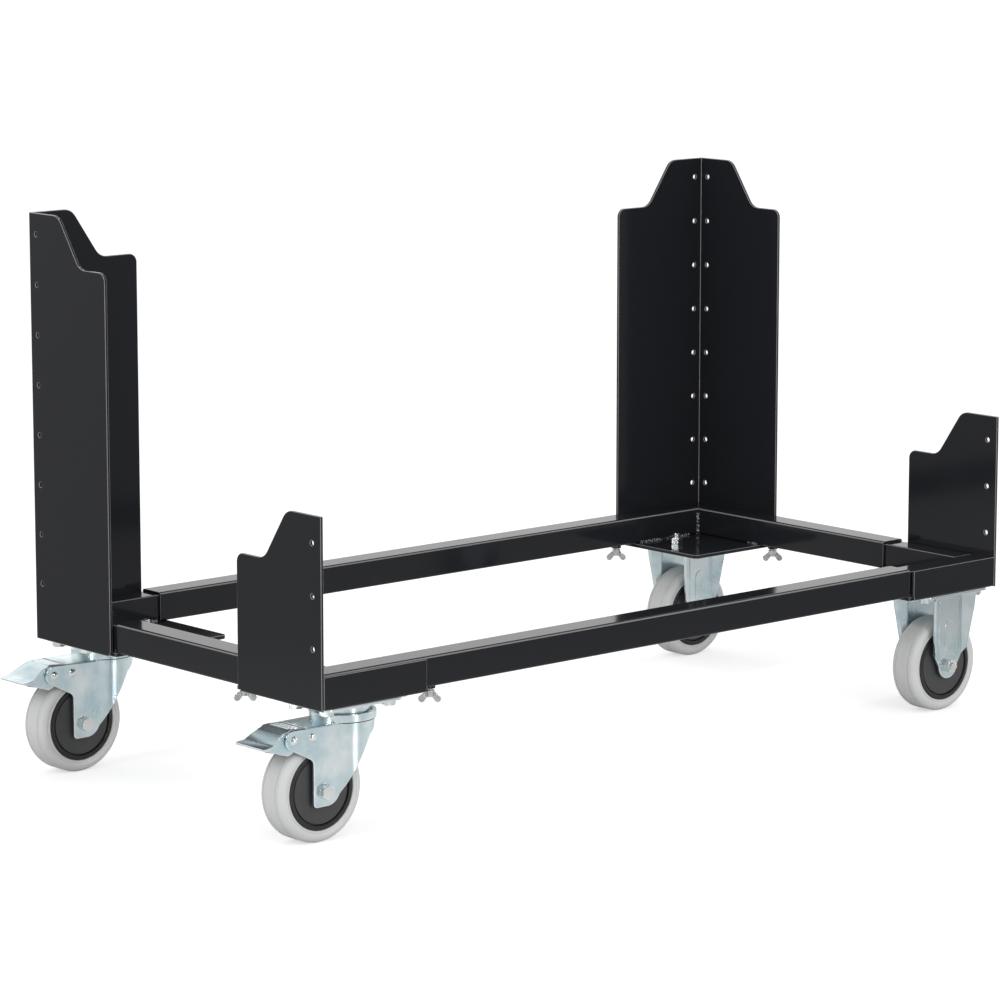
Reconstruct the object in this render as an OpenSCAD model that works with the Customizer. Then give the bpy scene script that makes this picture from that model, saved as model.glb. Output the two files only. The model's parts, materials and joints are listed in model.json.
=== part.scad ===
// Cabinet dolly: a low frame of telescoping square tubes on four casters, with two
// tall angle posts at the back and two low end plates at the front.
// Millimetres, +Z up, +X along the length, -Y to the front.
// The origin is on the floor, under the middle of the overall length and width.

/* [Frame] */
// Length over the end plates, closed
frame_l = 925; // [800:5:1200]
// Width over the front and rear plates, closed
frame_w = 455; // [400:5:700]
// Thickness of the posts, end plates and front walls
sheet_t = 3; // [2.5:0.5:4]
// Thickness of the base plates
base_t = 4; // [3:0.5:5]
// Side of the outer square tubes
rail_s = 30; // [27:1:34]
// Wall of all square tubes
tube_t = 2; // [1.5:0.5:3]
// Outer corner radius of the square tubes
tube_r = 2.5; // [1.5:0.5:3]
// Clearance on each side of an inner tube
slide_gap = 0.5; // [0.3:0.1:1]
// Distance of the long rails' mouths from the frame's end
mouth_x = 131; // [126:1:160]
// Distance of the cross rails' mouths from the frame's side
mouth_y = 134; // [128:1:160]
// Distance of the inner tubes' far ends from the frame's outside
arm_stop = 38; // [36:1:60]

/* [Plates] */
// Width of the plates that face the ends
end_w = 126; // [115:1:140]
// Width of the tall plates that face the rear
rear_w = 130; // [115:1:140]
// Height of the tall posts
tall_h = 428; // [300:2:600]
// Height of the low end plates
low_h = 183; // [160:1:260]
// Length of the folded front walls
wall_l = 127.5; // [115:0.5:132]
// Height of the folded front walls
wall_h = 32; // [20:1:34]
// Width of the flat crest at the top of a plate
crest_w = 42; // [34:1:50]
// Length of the curve from the crest down to the shoulder
wave_l = 51; // [44:1:56]
// Drop from the crest to the shoulder
wave_drop = 50; // [40:1:60]
// Radius of both arcs of that curve
wave_r = 16; // [10:1:18]
// Radius of the shoulder's outer corner
shoulder_r = 9; // [4:1:14]
// Radius of the plates' lower corners
corner_r = 6; // [3:0.5:10]
// Outer radius of the folds
fold_r = 3; // [2:0.5:3]
// Short side of a base plate
base_short = 131; // [120:1:131]
// Long side of the base plates that carry the inner tubes
base_long = 141; // [132:1:150]

/* [Holes in the plates] */
// Diameter of the holes
hole_d = 5; // [4:0.5:8]
// Distance between neighbouring holes
hole_pitch = 50; // [25:5:50]
// Distance of the hole lines from the corner
hole_in = 13; // [10:1:20]
// Height of the lowest hole above the frame's underside
hole_z = 57; // [45:1:70]
// Holes in one line of a tall plate
tall_holes = 8; // [3:1:8]
// Holes in a low plate
low_holes = 3; // [1:1:3]

/* [Casters] */
// Height of a caster from the floor to the frame
caster_h = 131; // [129:1:145]
// Wheel diameter
wheel_d = 100; // [92:1:103]
// Width of the tyre
wheel_w = 32; // [26:1:34]
// Radius of the tyre's shoulders
tyre_r = 7; // [3:0.5:9]
// Diameter of the hub where it meets the tyre
hub_d = 76; // [60:1:80]
// Distance of a caster's middle from the frame's end
caster_x = 55; // [52:1:58]
// Distance of a caster's middle from the frame's side
caster_y = 37.5; // [37:0.5:42]
// Horizontal distance from swivel axis to axle
trail = 38.5; // [34:0.5:42]
// Length of the mounting plate
plate_l = 95; // [90:1:100]
// Width of the mounting plate
plate_w = 70; // [64:1:74]
// Thickness of the mounting plate
plate_t = 3; // [2.5:0.5:4]
// Spacing of the fixing holes along the length
bolt_l = 75; // [70:1:80]
// Spacing of the fixing holes across
bolt_w = 45; // [44:1:50]
// Thickness of the fork and bracket sheet
leg_t = 3; // [2:0.5:3]
// Inside width between the legs
leg_gap = 37; // [36:0.5:42]
// Radius of the swivel head
head_r = 32; // [31:0.5:34]
// Radius of the round part of the fork
crown_r = 30; // [27:0.5:31]

/* [Brake] */
// Reach of the pedal's lip from the swivel axis
pedal_reach = 111; // [106:1:120]
// Width of the lip
pedal_w = 44; // [38:1:50]
// Thickness of the pedal sheet
pedal_t = 2; // [1.5:0.5:2.5]
// Gap between the brake shoe and the tyre
shoe_gap = 0.6; // [0.4:0.1:2]

/* [Clamps and fasteners] */
// Distance of the long rails' wing screws from the frame's end
clamp_x = 146; // [142:1:160]
// Distance of the cross rails' wing screws from the frame's side
clamp_y = 138; // [137:1:150]
// Thread diameter of the wing screws
clamp_d = 6; // [5:1:8]
// Radius swept by the wings
wing_r = 11; // [9:1:16]
// Thread diameter of the casters' screws
screw_d = 8; // [6:1:8]
// Hex size of the casters' screws across flats
screw_af = 13; // [12:0.5:14]
// Thread diameter of the screws that hold the tubes
tube_screw_d = 6; // [5:1:8]
// Hex size of the screws that hold the tubes across flats
tube_screw_af = 10; // [9:0.5:12]
// Distance of the rails' own screws from the corner
rail_screw_in = 111; // [110:1:112]
// Size of a weld bead
bead_r = 4; // [2:0.5:5]

/* [Hidden] */
$fn = 48;
// Tubes: side of the inner one, and how far in and up from the corner each lies
arm_s = rail_s - 2 * tube_t - 2 * slide_gap;
arm_in = sheet_t + tube_t + slide_gap;
arm_z = base_t + tube_t + slide_gap;
rail_mid = sheet_t + rail_s / 2;
rail_side = sheet_t + rail_s;
arm_side = arm_in + arm_s;
spacer_t = arm_z - base_t;
// The pedals stand out over the left end, so the frame sits half that far to the right
mid_x = (pedal_reach - caster_x) / 2;
wheel_r = wheel_d / 2;
hub_r = hub_d / 2;
// Heights inside a caster, measured down from the mounting face
axle_z = wheel_r - caster_h;
leg_out = leg_gap / 2 + leg_t;
head_gap = 0.5;
cup_h = 7;
dish_h = 8;
dish_r = head_r - 6;
cup_wall = 3.5;
cup_top = -plate_t - dish_h - head_gap + 1;
crown_top = cup_top - cup_h;
crown_low = crown_top - leg_t;
ball_r = 2.5;
ball_ring = head_r - 11;
ball_z = -plate_t - dish_h - 1;
ball_count = 20;
ball_play = 0.05;
pin_r = 5;
pin_head_r = 9;
pin_play = 0.05;
sleeve_r = 6;
axle_r = 4;
axle_hex = 13;
axle_head = 5.3;
nut_h = 6.5;
stub = 2.5;
hub_play = 0.3;
// Brake: places of the pivot and the stop, from the swivel axis and the mounting face
pivot_x = -trail - 36.5;
stop_x = -trail - 14.5;
pivot_z = axle_z + wheel_r + 4;
web_end = pivot_x + 17;
rivet_r = 3;
rivet_head_r = 4.6;
rivet_head = 2.2;
ear_r = 9.5;
cheek_t = 2.2;
shoe_w = 18;
// Screws
screw_play = 0.2;
screw_head = 5.3;
tube_screw_head = 4;
clamp_r = clamp_d / 2;
clamp_nut_h = 5;
clamp_nut_af = 10;

black = [0.10, 0.10, 0.11];
zinc = [0.78, 0.82, 0.83];
tyre_grey = [0.78, 0.79, 0.78];
hub_black = [0.22, 0.22, 0.23];

// Puts a corner's pieces in place: inwards is +X and +Y, up from the frame's underside
module corner(right, rear) {
    translate([mid_x + (right ? 1 : -1) * frame_l / 2, (rear ? 1 : -1) * frame_w / 2, caster_h])
        mirror([right ? 1 : 0, 0, 0]) mirror([0, rear ? 1 : 0, 0]) children();
}

// Puts a caster's pieces in place without mirroring: origin on its mounting face
module caster(right, rear) {
    translate([
        mid_x + (right ? 1 : -1) * (frame_l / 2 - caster_x),
        (rear ? 1 : -1) * (frame_w / 2 - caster_y),
        caster_h
    ]) children();
}

// The waste outside a rounded corner that points along sx and sy
module corner_waste(r, sx, sy) {
    e = 1;
    mirror([sx < 0 ? 1 : 0, 0]) mirror([0, sy < 0 ? 1 : 0]) difference() {
        translate([-r, -r]) square(r + e);
        translate([-r, -r]) circle(r);
    }
}

// Outline of a plate: flat crest, a curve of two equal arcs, and a shoulder
module wave_outline(w, h) {
    low = h - wave_drop;
    foot = crest_w + wave_l;
    rise = wave_drop - 2 * wave_r;
    turn = atan2(rise, wave_l) + asin(2 * wave_r / norm([rise, wave_l]));
    difference() {
        union() {
            polygon([
                [0, 0], [w, 0], [w, low], [foot, low],
                [foot - wave_r * sin(turn), low + wave_r * (1 - cos(turn))],
                [crest_w + wave_r * sin(turn), h - wave_r * (1 - cos(turn))],
                [crest_w, h], [0, h]
            ]);
            translate([crest_w, h - wave_r]) circle(wave_r);
        }
        translate([foot, low + wave_r]) circle(wave_r);
        translate([w, low]) corner_waste(shoulder_r, 1, 1);
        translate([w, 0]) corner_waste(corner_r, 1, -1);
    }
}

// Holes that fit under the crest of a plate
function fitting(count, h) = min(count, floor((h - hole_z - 12) / hole_pitch) + 1);

module hole_line(count) {
    for (i = [0 : count - 1])
        translate([hole_in, hole_z + i * hole_pitch]) circle(d = hole_d, $fn = 32);
}

// A plate that faces the end of the frame
module end_leaf(h, count) {
    rotate([90, 0, 90]) linear_extrude(sheet_t) difference() {
        wave_outline(end_w, h);
        hole_line(fitting(count, h));
    }
}

// A plate that faces the rear of the frame
module rear_leaf(h, count) {
    translate([0, sheet_t, 0]) rotate([90, 0, 0]) linear_extrude(sheet_t) difference() {
        wave_outline(rear_w, h);
        hole_line(fitting(count, h));
    }
}

module tall_post() {
    color(black) difference() {
        union() {
            end_leaf(tall_h, tall_holes);
            rear_leaf(tall_h, tall_holes);
        }
        translate([0, 0, -1]) linear_extrude(tall_h + 2)
            corner_waste(fold_r, -1, -1);
    }
}

module low_plate() {
    color(black) end_leaf(low_h, low_holes);
}

// The five screw places under a corner: four for the caster and two for the tubes
caster_screws = [
    for (x = [-1, 1], y = [-1, 1])
        [caster_x + x * bolt_l / 2, caster_y + y * bolt_w / 2]
];
tube_screws = [[rail_screw_in, rail_mid], [rail_mid, rail_screw_in]];

module screw_holes(z1) {
    for (p = caster_screws) translate([p[0], p[1], -1])
        cylinder(h = z1 + 1, d = screw_d + 2 * screw_play);
    for (p = tube_screws) translate([p[0], p[1], -1])
        cylinder(h = z1 + 1, d = tube_screw_d + 2 * screw_play);
}

// Flat base plate with one rounded inner corner
module base_plate(l, w, y0) {
    difference() {
        translate([sheet_t, y0, 0]) linear_extrude(base_t) difference() {
            square([l - sheet_t, w - y0]);
            translate([l - sheet_t, w - y0]) corner_waste(corner_r, 1, 1);
        }
        screw_holes(base_t + 1);
    }
}

// Base plate with the front wall turned up from its outer edge
module tray(l, w) {
    color(black) difference() {
        union() {
            base_plate(l, w, sheet_t);
            translate([sheet_t, sheet_t, 0]) rotate([90, 0, 0]) linear_extrude(sheet_t)
                difference() {
                    square([wall_l - sheet_t, wall_h]);
                    translate([wall_l - sheet_t, 0]) corner_waste(corner_r, 1, -1);
                }
        }
        rotate([90, 0, 90]) linear_extrude(wall_l + 1) corner_waste(fold_r, -1, -1);
    }
}

module plain_base(l, w) {
    color(black) base_plate(l, w, sheet_t);
}

// Square tube from a to b along X, in by its outer side, standing on z0
module tube_x(a, b, in, s, z0) {
    r = tube_r - (rail_s - s) / 4;
    translate([a, in + s / 2, z0 + s / 2]) rotate([90, 0, 90]) linear_extrude(b - a)
        difference() {
            round_square(s, r);
            round_square(s - 2 * tube_t, max(r - tube_t, 0.3));
        }
}

module round_square(s, r) {
    difference() {
        square(s, center = true);
        for (x = [-1, 1], y = [-1, 1]) translate([x * s / 2, y * s / 2]) corner_waste(r, x, y);
    }
}

module tube_y(a, b, in, s, z0) {
    mirror([1, -1, 0]) tube_x(a, b, in, s, z0);
}

module outer_rail_x() {
    color(black) difference() {
        tube_x(sheet_t, frame_l - mouth_x, sheet_t, rail_s, base_t);
        screw_holes(rail_mid);
        translate([clamp_x, rail_mid, 0]) cylinder(h = rail_mid, r = clamp_r + pin_play);
    }
}

module outer_rail_y() {
    color(black) difference() {
        tube_y(sheet_t + rail_s, frame_w - mouth_y, sheet_t, rail_s, base_t);
        screw_holes(rail_mid);
        translate([rail_mid, clamp_y, 0]) cylinder(h = rail_mid, r = clamp_r + pin_play);
    }
}

module inner_arm_x() {
    color(black) difference() {
        tube_x(sheet_t, frame_l - arm_stop, arm_in, arm_s, arm_z);
        screw_holes(rail_mid);
    }
}

module inner_arm_y() {
    color(black) difference() {
        tube_y(arm_in + arm_s, frame_w - arm_stop, arm_in, arm_s, arm_z);
        screw_holes(rail_mid);
    }
}

// Flat bars that lift the inner tubes to the height of the rails' bores.
// They end before the rails' mouths.
module spacers(l, w) {
    end_x = min(l - 4, mouth_x - 1.5);
    end_y = min(w - 4, mouth_y - 1.5);
    side = arm_in + arm_s;
    color(black) difference() {
        union() {
            translate([sheet_t, arm_in, base_t]) cube([end_x - sheet_t, arm_s, spacer_t]);
            translate([arm_in, side, base_t]) cube([arm_s, end_y - side, spacer_t]);
        }
        screw_holes(rail_mid);
    }
}

// Quarter round bead along an inside edge, from a to b along X
module bead_x(a, b, y, z) {
    translate([a, y, z]) rotate([90, 0, 90]) linear_extrude(b - a) intersection() {
        circle(bead_r);
        square(bead_r + 1);
    }
}

module bead_y(a, b, x, z) {
    mirror([1, -1, 0]) bead_x(a, b, x, z);
}

// Beads between the tubes and a base plate of l by w: two along it, and one in the upright
// corner. They end before the rails' mouths, which close over the inner tubes.
module corner_welds(side, l, w) {
    color(black) {
        bead_x(side + 14, min(l - 7, mouth_x - 3), side, base_t);
        bead_y(side + 14, min(w - 3, mouth_y - 3), side, base_t);
        translate([side, side, base_t]) linear_extrude(arm_s) intersection() {
            circle(bead_r);
            square(bead_r + 1);
        }
    }
}

// Hexagonal bar, corner to corner along X
module hex(af, h) {
    cylinder(h = h, r = af / sqrt(3), $fn = 6);
}

// Hex screw with its head under z0 and its shank up to z1
module hex_screw(d, af, head, z0, z1) {
    translate([0, 0, z0 - head]) intersection() {
        hex(af, head);
        cylinder(h = head, r1 = af / 2 + 0.2, r2 = af / 2 + 2.5);
    }
    translate([0, 0, z0]) cylinder(h = z1 - z0, d = d);
}

module caster_screw(z1) {
    hex_screw(screw_d, screw_af, screw_head, -plate_t, z1);
}

// Hex nut with a bore for its own thread
module hex_nut(af, h, r) {
    difference() {
        hex(af, h);
        translate([0, 0, -1]) cylinder(h = h + 2, r = r);
    }
}

// The screws of one corner. The shanks under a tube end level with its inner wall.
module corner_screws(end_z) {
    color(zinc) {
        for (p = caster_screws) translate([p[0], p[1], 0]) {
            if (p[0] > caster_x && p[1] > caster_y) {
                caster_screw(base_t + nut_h + 2 * stub);
                translate([0, 0, base_t]) hex_nut(screw_af, nut_h, screw_d / 2);
            } else caster_screw(end_z);
        }
        for (p = tube_screws) translate([p[0], p[1], 0])
            hex_screw(tube_screw_d, tube_screw_af, tube_screw_head, 0, end_z);
    }
}

module clamp_nuts() {
    color(black) for (p = [[clamp_x, rail_mid], [rail_mid, clamp_y]])
        translate([p[0], p[1], base_t - clamp_nut_h])
            hex_nut(clamp_nut_af, clamp_nut_h, clamp_r + pin_play);
}

// Wing screw: its tip stops just short of the inner tube
module wing_screw() {
    hub_top = base_t - clamp_nut_h - 1.5;
    hub_h = 7;
    color(zinc) {
        translate([0, 0, hub_top]) cylinder(h = arm_z - 0.1 - hub_top, r = clamp_r);
        translate([0, 0, hub_top - hub_h]) cylinder(h = hub_h, r1 = 3.6, r2 = 5);
        for (a = [0, 180]) rotate([90, 0, a - 40]) translate([0, 0, -1.1]) linear_extrude(2.2)
            difference() {
                hull() {
                    translate([3, hub_top - 4]) circle(2.6);
                    translate([wing_r - 3.4, hub_top - 9]) circle(3.4);
                }
                translate([wing_r - 4, hub_top - 1]) circle(1.2);
            }
    }
}

module clamp_screw_x() { translate([clamp_x, rail_mid, 0]) wing_screw(); }
module clamp_screw_y() { translate([rail_mid, clamp_y, 0]) wing_screw(); }

// Mounting plate of a swivel caster, with the pressed dish that holds the upper ball track
module mounting_plate() {
    color(zinc) difference() {
        union() {
            translate([0, 0, -plate_t]) linear_extrude(plate_t) plate_outline();
            translate([0, 0, -plate_t - dish_h]) cylinder(h = dish_h, r = dish_r);
        }
        translate([0, 0, -plate_t]) cylinder(h = plate_t + 1, r = pin_head_r);
        translate([0, 0, -plate_t - dish_h - 1]) cylinder(h = dish_h + 2, r = pin_r);
        ball_track();
    }
}

module plate_outline() {
    difference() {
        square([plate_l, plate_w], center = true);
        for (x = [-1, 1], y = [-1, 1]) {
            translate([x * plate_l / 2, y * plate_w / 2]) corner_waste(8, x, y);
            translate([x * bolt_l / 2, y * bolt_w / 2]) circle(screw_d / 2 + screw_play);
        }
    }
}

module ball_track() {
    translate([0, 0, ball_z]) rotate_extrude() translate([ball_ring, 0])
        circle(ball_r + ball_play);
}

module balls() {
    color("silver") for (i = [0 : ball_count - 1]) rotate(i * 360 / ball_count)
        translate([ball_ring, 0, ball_z]) sphere(ball_r);
}

// Rivet that joins the fork to the mounting plate and carries the load
module kingpin() {
    low = crown_low - 0.1;
    color(zinc) {
        translate([0, 0, -plate_t]) cylinder(h = plate_t - 0.2, r = pin_head_r);
        translate([0, 0, low - 1]) cylinder(h = -plate_t - low + 1, r = pin_r);
        translate([0, 0, low - 4]) cylinder(h = 4, r1 = pin_head_r - 2, r2 = pin_head_r);
    }
}

// Side outline of a fork leg, from the swivel axis and the mounting face
module leg_outline() {
    back = -trail - 13.5;
    low = axle_z - 14;
    toe = [-trail + 2.5, axle_z + 2];
    toe_r = 16;
    lean = 60;
    pivot = [pivot_x, pivot_z];
    arch_r = 7;
    difference() {
        union() {
            polygon([
                [back, low + 4], [back + 4, low], [toe[0], low],
                [toe[0] + toe_r * sin(lean), toe[1] - toe_r * cos(lean)],
                [10, axle_z + 48], [crown_r - 6, crown_low - 4], [crown_r, crown_low - 4],
                [crown_r, crown_top], [pivot[0], crown_top], [pivot[0] - 4, pivot[1] - 8.6],
                [back - 3.8, axle_z + 33.3], [back, axle_z + 27]
            ]);
            translate(toe) circle(toe_r);
            translate([back + 4, low + 4]) circle(4);
            translate(pivot) circle(ear_r);
        }
        translate([back - arch_r, axle_z + 27]) circle(arch_r);
        translate([back - 30, low - 5]) square([30, 24]);
    }
}

module fork_plan(r, y) {
    circle(r);
    translate([-90, -y]) square([90, 2 * y]);
}

// Pressed fork: round crown with a rim, and two flat legs with an ear for the brake
module fork() {
    color(zinc) difference() {
        union() {
            intersection() {
                translate([0, leg_out + 12, 0]) rotate([90, 0, 0])
                    linear_extrude(2 * leg_out + 24) leg_outline();
                translate([0, 0, axle_z - 20]) linear_extrude(crown_top - axle_z + 20)
                    difference() {
                        fork_plan(crown_r, leg_out);
                        fork_plan(crown_r - leg_t, leg_gap / 2);
                    }
            }
            translate([0, 0, crown_low]) linear_extrude(leg_t) intersection() {
                fork_plan(crown_r, leg_out);
                translate([web_end, -50]) square([100 - web_end, 100]);
            }
            translate([0, 0, crown_top]) cylinder(h = cup_h, r = head_r);
        }
        translate([0, 0, crown_top + cup_h - 2.5]) cylinder(h = 4, r = head_r - cup_wall);
        translate([0, 0, crown_top + 1.2]) cylinder(h = cup_h, r = ball_ring - 5);
        ball_track();
        translate([0, 0, crown_low - 1]) cylinder(h = 20, r = pin_r + pin_play);
        across(-trail, axle_z, axle_r);
        for (x = [pivot_x, stop_x]) across(x, pivot_z, rivet_r);
    }
}

// Hole across both legs
module across(x, z, r) {
    translate([x, leg_out + 20, z]) rotate([90, 0, 0]) cylinder(h = 2 * leg_out + 40, r = r);
}

// Pivot and stop rivets of the brake, with domed heads outside the legs
module brake_pins() {
    color(zinc) for (x = [pivot_x, stop_x]) translate([x, 0, pivot_z]) {
        translate([0, leg_out, 0]) rotate([90, 0, 0]) cylinder(h = 2 * leg_out, r = rivet_r);
        for (a = [90, -90]) rotate([a, 0, 0]) translate([0, 0, leg_out]) dome();
    }
}

module dome() {
    r = (pow(rivet_head_r, 2) + pow(rivet_head, 2)) / (2 * rivet_head);
    rotate_extrude() intersection() {
        translate([0, rivet_head - r]) circle(r);
        square([rivet_head_r, rivet_head]);
    }
}

// Hex bolt, nut and inner sleeve of one wheel, with the head on the side of s
module axle(x, s) {
    color(zinc) translate([x, 0, axle_z]) rotate([90 * s, 0, 0]) {
        translate([0, 0, leg_out]) rotate(20) hex(axle_hex, axle_head);
        translate([0, 0, -leg_out - nut_h - stub])
            cylinder(h = 2 * leg_out + nut_h + stub, r = axle_r);
        translate([0, 0, -leg_out - nut_h]) rotate(10) hex_nut(axle_hex, nut_h, axle_r);
        translate([0, 0, -leg_gap / 2]) difference() {
            cylinder(h = leg_gap, r = sleeve_r);
            translate([0, 0, -1]) cylinder(h = leg_gap + 2, r = axle_r);
        }
    }
}

// Section of the hub's outside that the tyre is moulded on
ridge_w = 14;
ridge_h = 3;

module tyre(x) {
    color(tyre_grey) translate([x, 0, axle_z]) rotate([90, 0, 0]) rotate_extrude($fn = 96)
        difference() {
            translate([hub_r, -wheel_w / 2]) square([wheel_r - hub_r, wheel_w]);
            translate([hub_r - 1, -ridge_w / 2]) square([ridge_h + 1, ridge_w]);
            for (s = [-1, 1]) translate([wheel_r, s * wheel_w / 2]) corner_waste(tyre_r, 1, s);
        }
}

module hub(x) {
    groove_r = hub_r - 4.6;
    color(hub_black) translate([x, 0, axle_z]) rotate([90, 0, 0]) rotate_extrude($fn = 96)
        difference() {
            union() {
                translate([0, -wheel_w / 2]) square([hub_r, wheel_w]);
                translate([0, -ridge_w / 2]) square([hub_r + ridge_h, ridge_w]);
                translate([0, hub_play - leg_gap / 2]) square([sleeve_r + 4, leg_gap - 2 * hub_play]);
            }
            translate([-1, -50]) square([sleeve_r + pin_play + 1, 100]);
            for (s = [-1, 1]) mirror([0, s < 0 ? 1 : 0]) {
                translate([groove_r - 1.2, wheel_w / 2 - 2]) square([1.2, 3]);
                translate([sleeve_r + 4, wheel_w / 2 - 0.8]) square([groove_r - sleeve_r - 5, 2]);
            }
        }
}

// Side section of the pedal sheet from its pivot: flat, knee, slope and lip
pedal_line = [
    [14, 7.5], [-1, 8.5], [-11, 5.5], [-18, 1.5], [-25, -3.5], [-pedal_reach - pivot_x, -5]
];

module pedal_section() {
    t = [0, pedal_t];
    polygon(concat(pedal_line, [for (i = [5 : -1 : 0]) pedal_line[i] + t]));
}

module pedal() {
    narrow = leg_gap / 2 - 0.5;
    lip = -pedal_reach - pivot_x;
    wide = pedal_w / 2;
    color(zinc) translate([pivot_x, 0, pivot_z]) difference() {
        union() {
            intersection() {
                translate([0, 40, 0]) rotate([90, 0, 0]) linear_extrude(80) pedal_section();
                translate([0, 0, -20]) linear_extrude(40) polygon([
                    [15, -narrow], [-13, -narrow], [-23, 1 - wide], [lip + 2, -wide],
                    [lip, 2 - wide], [lip, wide - 2], [lip + 2, wide], [-23, wide - 1],
                    [-13, narrow], [15, narrow]
                ]);
            }
            for (s = [-1, 1])
                translate([0, s * (narrow - cheek_t / 2) + cheek_t / 2, 0]) rotate([90, 0, 0])
                    linear_extrude(cheek_t) polygon([
                        [7.5, 8.6], [8, -3], [5, -9], [1, -12.5], [-4, -14.5], [-13, -12],
                        [-24, -8], [-32, -5.8], [-32, -4], [-25, -2.7], [-18, 2.3],
                        [-11, 6.4], [-1, 9.3]
                    ]);
        }
        translate([0, 50, 0]) rotate([90, 0, 0]) cylinder(h = 100, r = rivet_r + pin_play);
        for (i = [0 : 3]) translate([10.5 - 4 * i, -14, 7 + 0.27 * i + pedal_t])
            cube([1.4, 28, 4]);
    }
}

// Brake shoe under the pedal's slope, hollowed to the tyre's radius
module shoe() {
    color([0.08, 0.08, 0.08]) difference() {
        translate([pivot_x, shoe_w / 2, pivot_z]) rotate([90, 0, 0]) linear_extrude(shoe_w)
            polygon([
                [8, -5], [-4.5, -4], pedal_line[2], pedal_line[3], [-22, -4],
                [-22, -10], [-5, -14], [2, -16.5], [8, -16]
            ]);
        translate([-trail, 50, axle_z]) rotate([90, 0, 0])
            cylinder(h = 100, r = wheel_r + shoe_gap, $fn = 96);
    }
}

// Section of a bracket leg seen from above: flat face with two slanting flanges
module channel_plan(y, t) {
    face = 20;
    flare = 11;
    k = t * tan(22.5);
    d = t / sqrt(2);
    polygon([
        [-face - flare, y + flare], [-face, y], [face, y], [face + flare, y + flare],
        [face + flare + d, y + flare - d], [face + k, y - t], [-face - k, y - t],
        [-face - flare - d, y + flare - d]
    ]);
}

module bracket_side() {
    top = 31;
    toe_r = 14;
    polygon([
        [-top, 0], [-top + 1, -plate_t - 15], [-24.5, axle_z + 18], [-toe_r, axle_z],
        [toe_r, axle_z], [24.5, axle_z + 18], [top - 1, -plate_t - 15], [top, 0]
    ]);
    translate([0, axle_z]) circle(toe_r);
}

// Raised panel pressed into a bracket leg, with an arched foot above the axle
module pressed_panel() {
    difference() {
        translate([-15.5, axle_z + 4]) square([31, -axle_z - plate_t - 9]);
        translate([0, axle_z]) circle(13);
        for (x = [-1, 1]) translate([x * 15.5, -plate_t - 5]) corner_waste(4, x, 1);
    }
}

// Plain oval bead on that panel
module oval_bead() {
    hull() {
        translate([0, axle_z + 22]) circle(7);
        translate([0, axle_z + 42]) circle(7);
    }
}

// Fixed bracket: mounting plate with two channelled legs, pressed from one sheet
module bracket() {
    color(zinc) difference() {
        union() {
            translate([0, 0, -plate_t]) linear_extrude(plate_t) plate_outline();
            intersection() {
                translate([0, 60, 0]) rotate([90, 0, 0]) linear_extrude(120) bracket_side();
                translate([0, 0, axle_z - 20]) linear_extrude(-axle_z + 20 - plate_t + 0.5)
                    for (s = [0, 1]) mirror([0, s]) channel_plan(leg_out, leg_t);
            }
            for (s = [0, 1]) mirror([0, s, 0]) translate([0, -leg_out, 0]) rotate([90, 0, 0]) {
                linear_extrude(0.9) pressed_panel();
                linear_extrude(1.6) oval_bead();
            }
        }
        across(0, axle_z, axle_r);
    }
}

corner(false, false) low_plate();  // front_left_plate
corner(false, false) tray(base_short, base_short);  // front_left_tray
corner(false, false) outer_rail_x();  // front_rail
corner(false, false) outer_rail_y();  // left_rail
corner(false, false) corner_welds(rail_side, base_short, base_short);  // front_left_welds
corner(false, false) clamp_nuts();  // front_left_clamp_nuts
corner(false, false) corner_screws(base_t + tube_t);  // front_left_screws
caster(false, false) mounting_plate();  // front_left_mounting_plate
caster(false, false) kingpin();  // front_left_kingpin
corner(false, true) tall_post();  // rear_left_post
corner(false, true) plain_base(base_long, base_short);  // rear_left_base
corner(false, true) inner_arm_y();  // left_arm
corner(false, true) inner_arm_x();  // rear_arm
corner(false, true) spacers(base_long, base_short);  // rear_left_spacers
corner(false, true) corner_welds(arm_side, base_long, base_short);  // rear_left_welds
corner(false, true) corner_screws(arm_z + tube_t);  // rear_left_screws
caster(false, true) mounting_plate();  // rear_left_mounting_plate
caster(false, true) kingpin();  // rear_left_kingpin
corner(true, true) tall_post();  // rear_right_post
corner(true, true) plain_base(base_short, base_short);  // rear_right_base
corner(true, true) outer_rail_x();  // rear_rail
corner(true, true) outer_rail_y();  // right_rail
corner(true, true) corner_welds(rail_side, base_short, base_short);  // rear_right_welds
corner(true, true) clamp_nuts();  // rear_right_clamp_nuts
corner(true, true) corner_screws(base_t + tube_t);  // rear_right_screws
caster(true, true) bracket();  // rear_right_bracket
caster(true, true) axle(0, -1);  // rear_right_axle
corner(true, false) low_plate();  // front_right_plate
corner(true, false) tray(base_short, base_long);  // front_right_tray
corner(true, false) inner_arm_x();  // front_arm
corner(true, false) inner_arm_y();  // right_arm
corner(true, false) spacers(base_short, base_long);  // front_right_spacers
corner(true, false) corner_welds(arm_side, base_short, base_long);  // front_right_welds
corner(true, false) corner_screws(arm_z + tube_t);  // front_right_screws
caster(true, false) bracket();  // front_right_bracket
caster(true, false) axle(0, -1);  // front_right_axle
caster(false, false) fork();  // front_left_fork
caster(false, false) balls();  // front_left_balls
caster(false, false) axle(-trail, 1);  // front_left_axle
caster(false, false) brake_pins();  // front_left_brake_pins
caster(false, false) pedal();  // front_left_pedal
caster(false, false) shoe();  // front_left_shoe
caster(false, false) tyre(-trail);  // front_left_tyre
caster(false, false) hub(-trail);  // front_left_hub
caster(false, true) fork();  // rear_left_fork
caster(false, true) balls();  // rear_left_balls
caster(false, true) axle(-trail, 1);  // rear_left_axle
caster(false, true) brake_pins();  // rear_left_brake_pins
caster(false, true) pedal();  // rear_left_pedal
caster(false, true) shoe();  // rear_left_shoe
caster(false, true) tyre(-trail);  // rear_left_tyre
caster(false, true) hub(-trail);  // rear_left_hub
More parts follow.
